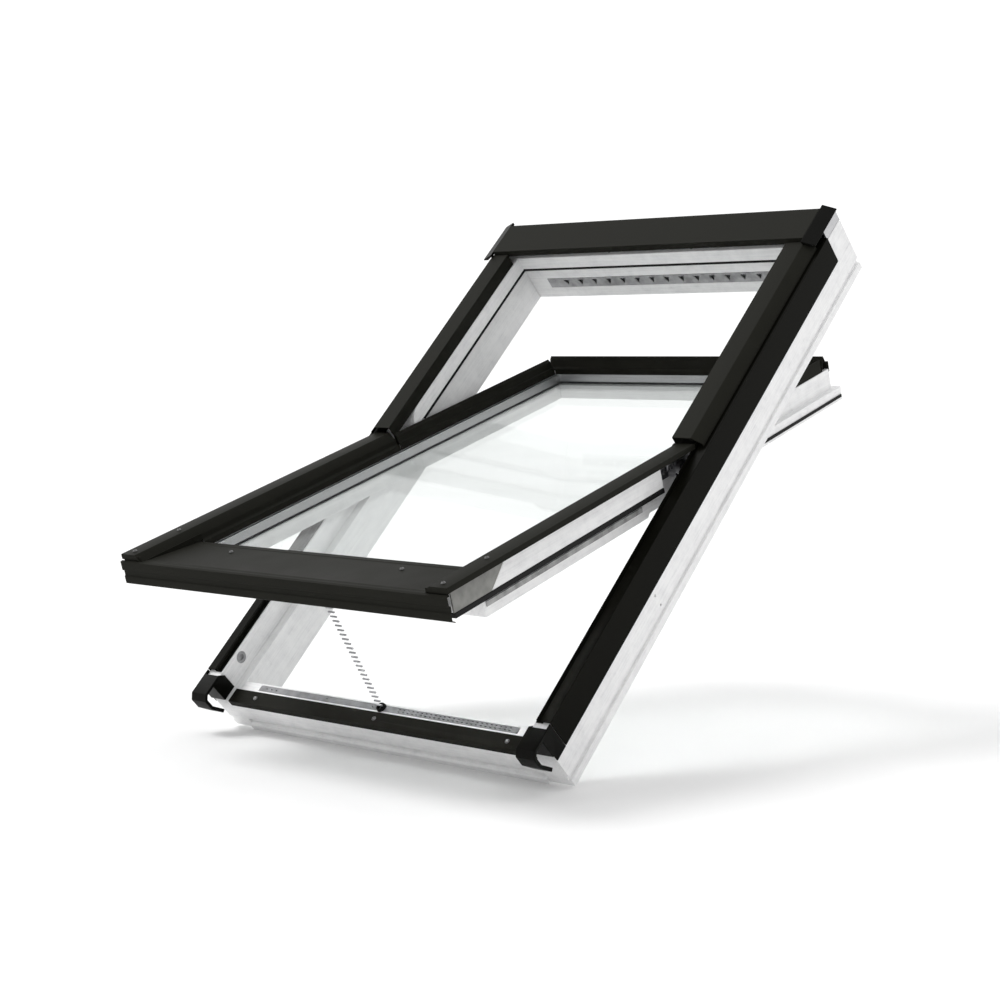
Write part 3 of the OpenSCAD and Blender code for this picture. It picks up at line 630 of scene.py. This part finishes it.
def turned_up_edges(sign):
    """The bottom cover's side edge turned up beside a side cover, and the tab behind its end."""
    edge = [(-0.613, 0.0223), (-0.494, 0.0112), (-0.487, 0.003), (-0.487, 0.0236),
            (-0.613, 0.0236)]
    tab = [(-0.6186, 0.0204), (-0.6176, 0.0204), (-0.6176, 0.0315), (-0.6186, 0.0315)]
    form = bmesh.new()
    for profile, near, far in ((edge, 0.3194, 0.321), (tab, 0.3235, 0.3675)):
        ends = [[form.verts.new(on_sash @ Vector((sign * x, y, z))) for y, z in profile]
                for x in (near, far)]
        for end in ends:
            form.faces.new(end)
        for k in range(len(profile)):
            form.faces.new((ends[0][k - 1], ends[0][k], ends[1][k], ends[1][k - 1]))
    bmesh.ops.recalc_face_normals(form, faces=form.faces)
    mesh = bpy.data.meshes.new("turned_up_edges")
    form.to_mesh(mesh)
    form.free()
    return mesh


for sign, side in ((-1, "left"), (1, "right")):
    stand_in(turned_up_edges(sign), "sash_bottom_cover_edge_" + side, "sash", dark_coat,
             "dark_cladding")

# ---- Screws ----
# Blackened steel pan heads with a cross slot, each turned its own way: they hold
# the bottom cover and top stop list, the hinge plates, and the sash's covers.
screw_black = brushed_metal("screw_black", (0.10, 0.10, 0.10), (0.2, 0.2, 0.2), 0.32, pitch)
heads, given, result = tree_of("pan_head_screws", [
    ("Head Diameter", "Float", 0.008), ("Head Height", "Float", 0.0018), ("Seed", "Int", 4),
    ("Finish", "Material", None)])


def times(tree, value, factor):
    """One socket's number times a plain number."""
    return step(tree, "ShaderNodeMath", {0: value, 1: factor}, operation="MULTIPLY").outputs[0]


across_top, across_foot, slot_length, slot_width = 0.36, 0.5, 0.56, 0.13
slot_lift, full_turn = 0.95, 6.28
dome = step(heads, "GeometryNodeMeshCone", {
    "Vertices": 24, "Side Segments": 2,
    "Radius Top": times(heads, given["Head Diameter"], across_top),
    "Radius Bottom": times(heads, given["Head Diameter"], across_foot),
    "Depth": given["Head Height"]})
bars = []
for turn in (0, pi / 2):
    size = step(heads, "ShaderNodeCombineXYZ", {
        0: times(heads, given["Head Diameter"], slot_length),
        1: times(heads, given["Head Diameter"], slot_width), 2: given["Head Height"]})
    bar = step(heads, "GeometryNodeMeshCube", {"Size": size.outputs[0]})
    lift = step(heads, "ShaderNodeCombineXYZ", {2: times(heads, given["Head Height"], slot_lift)})
    bars.append(step(heads, "GeometryNodeTransform", {
        "Geometry": bar.outputs["Mesh"], "Rotation": (0, 0, turn),
        "Translation": lift.outputs[0]}).outputs["Geometry"])
head = step(heads, "GeometryNodeMeshBoolean", {"Mesh 1": dome.outputs["Mesh"], "Mesh 2": bars},
            operation="DIFFERENCE")
facing = step(heads, "GeometryNodeInputNamedAttribute", {"Name": "facing"},
              data_type="FLOAT_VECTOR")
aligned = step(heads, "FunctionNodeAlignRotationToVector", {"Vector": facing.outputs[0]},
               axis="Z")
angle = step(heads, "FunctionNodeRandomValue", {"Seed": given["Seed"]}, data_type="FLOAT")
spin = step(heads, "ShaderNodeCombineXYZ", {2: times(heads, angle.outputs[1], full_turn)})
turned = step(heads, "FunctionNodeRotateRotation", {0: aligned.outputs[0], 1: spin.outputs[0]},
              rotation_space="LOCAL")
set_out = step(heads, "GeometryNodeInstanceOnPoints", {
    "Points": given["Geometry"], "Instance": head.outputs["Mesh"], "Rotation": turned.outputs[0]})
real = step(heads, "GeometryNodeRealizeInstances", {"Geometry": set_out.outputs["Instances"]})
dressed = step(heads, "GeometryNodeSetMaterial", {"Geometry": real.outputs["Geometry"],
                                                  "Material": given["Finish"]})
heads.links.new(dressed.outputs["Geometry"], result.inputs["Geometry"])


def screw_row(name, body, node, spots, ways, place, diameter):
    """Screw heads at spots of a plane, each facing its way, for one CAD node."""
    seed = bpy.data.meshes.new(name + "_spots")
    seed.from_pydata([place @ Vector(spot) for spot in spots], [], [])
    facing = seed.attributes.new("facing", "FLOAT_VECTOR", "POINT")
    for row, way in zip(facing.data, ways):
        row.vector = place.to_3x3() @ Vector(way)
    mesh = grown(heads, seed, Head_Diameter=diameter, Finish=screw_black)
    stand_in(mesh, name, body, screw_black, "steel", node)


upward, cover_screw, sash_screw = (0, 0, 1), 0.0085, 0.0078
frame_spots = [(x, 0.012, 0.0776) for x in (-0.29, 0, 0.29)]
frame_spots += [(x, 1.118, 0.1179) for x in (-0.0975, 0.0975)]
screw_row("frame_screw_heads", "frame", "frame_screws", frame_spots,
          [upward] * len(frame_spots), window, cover_screw)
hinge_spots = [(side * 0.3589, pivot_up + y, 0.101)
               for side in (-1, 1) for y in (-0.04, -0.024, 0.024, 0.04)]
screw_row("hinge_screw_heads", "frame", "hinge_screws", hinge_spots,
          [(-1 if x > 0 else 1, 0, 0) for x, _, _ in hinge_spots], window, sash_screw)
sash_spots = [(x, -0.532, 0.0164) for x in (-0.195, 0.195)]
sash_spots += [(side * 0.350, y, 0.0358) for side in (-1, 1) for y in (-0.606, -0.506)]
screw_row("sash_screw_heads", "sash", "sash_screws", sash_spots,
          [upward] * len(sash_spots), on_sash, sash_screw)
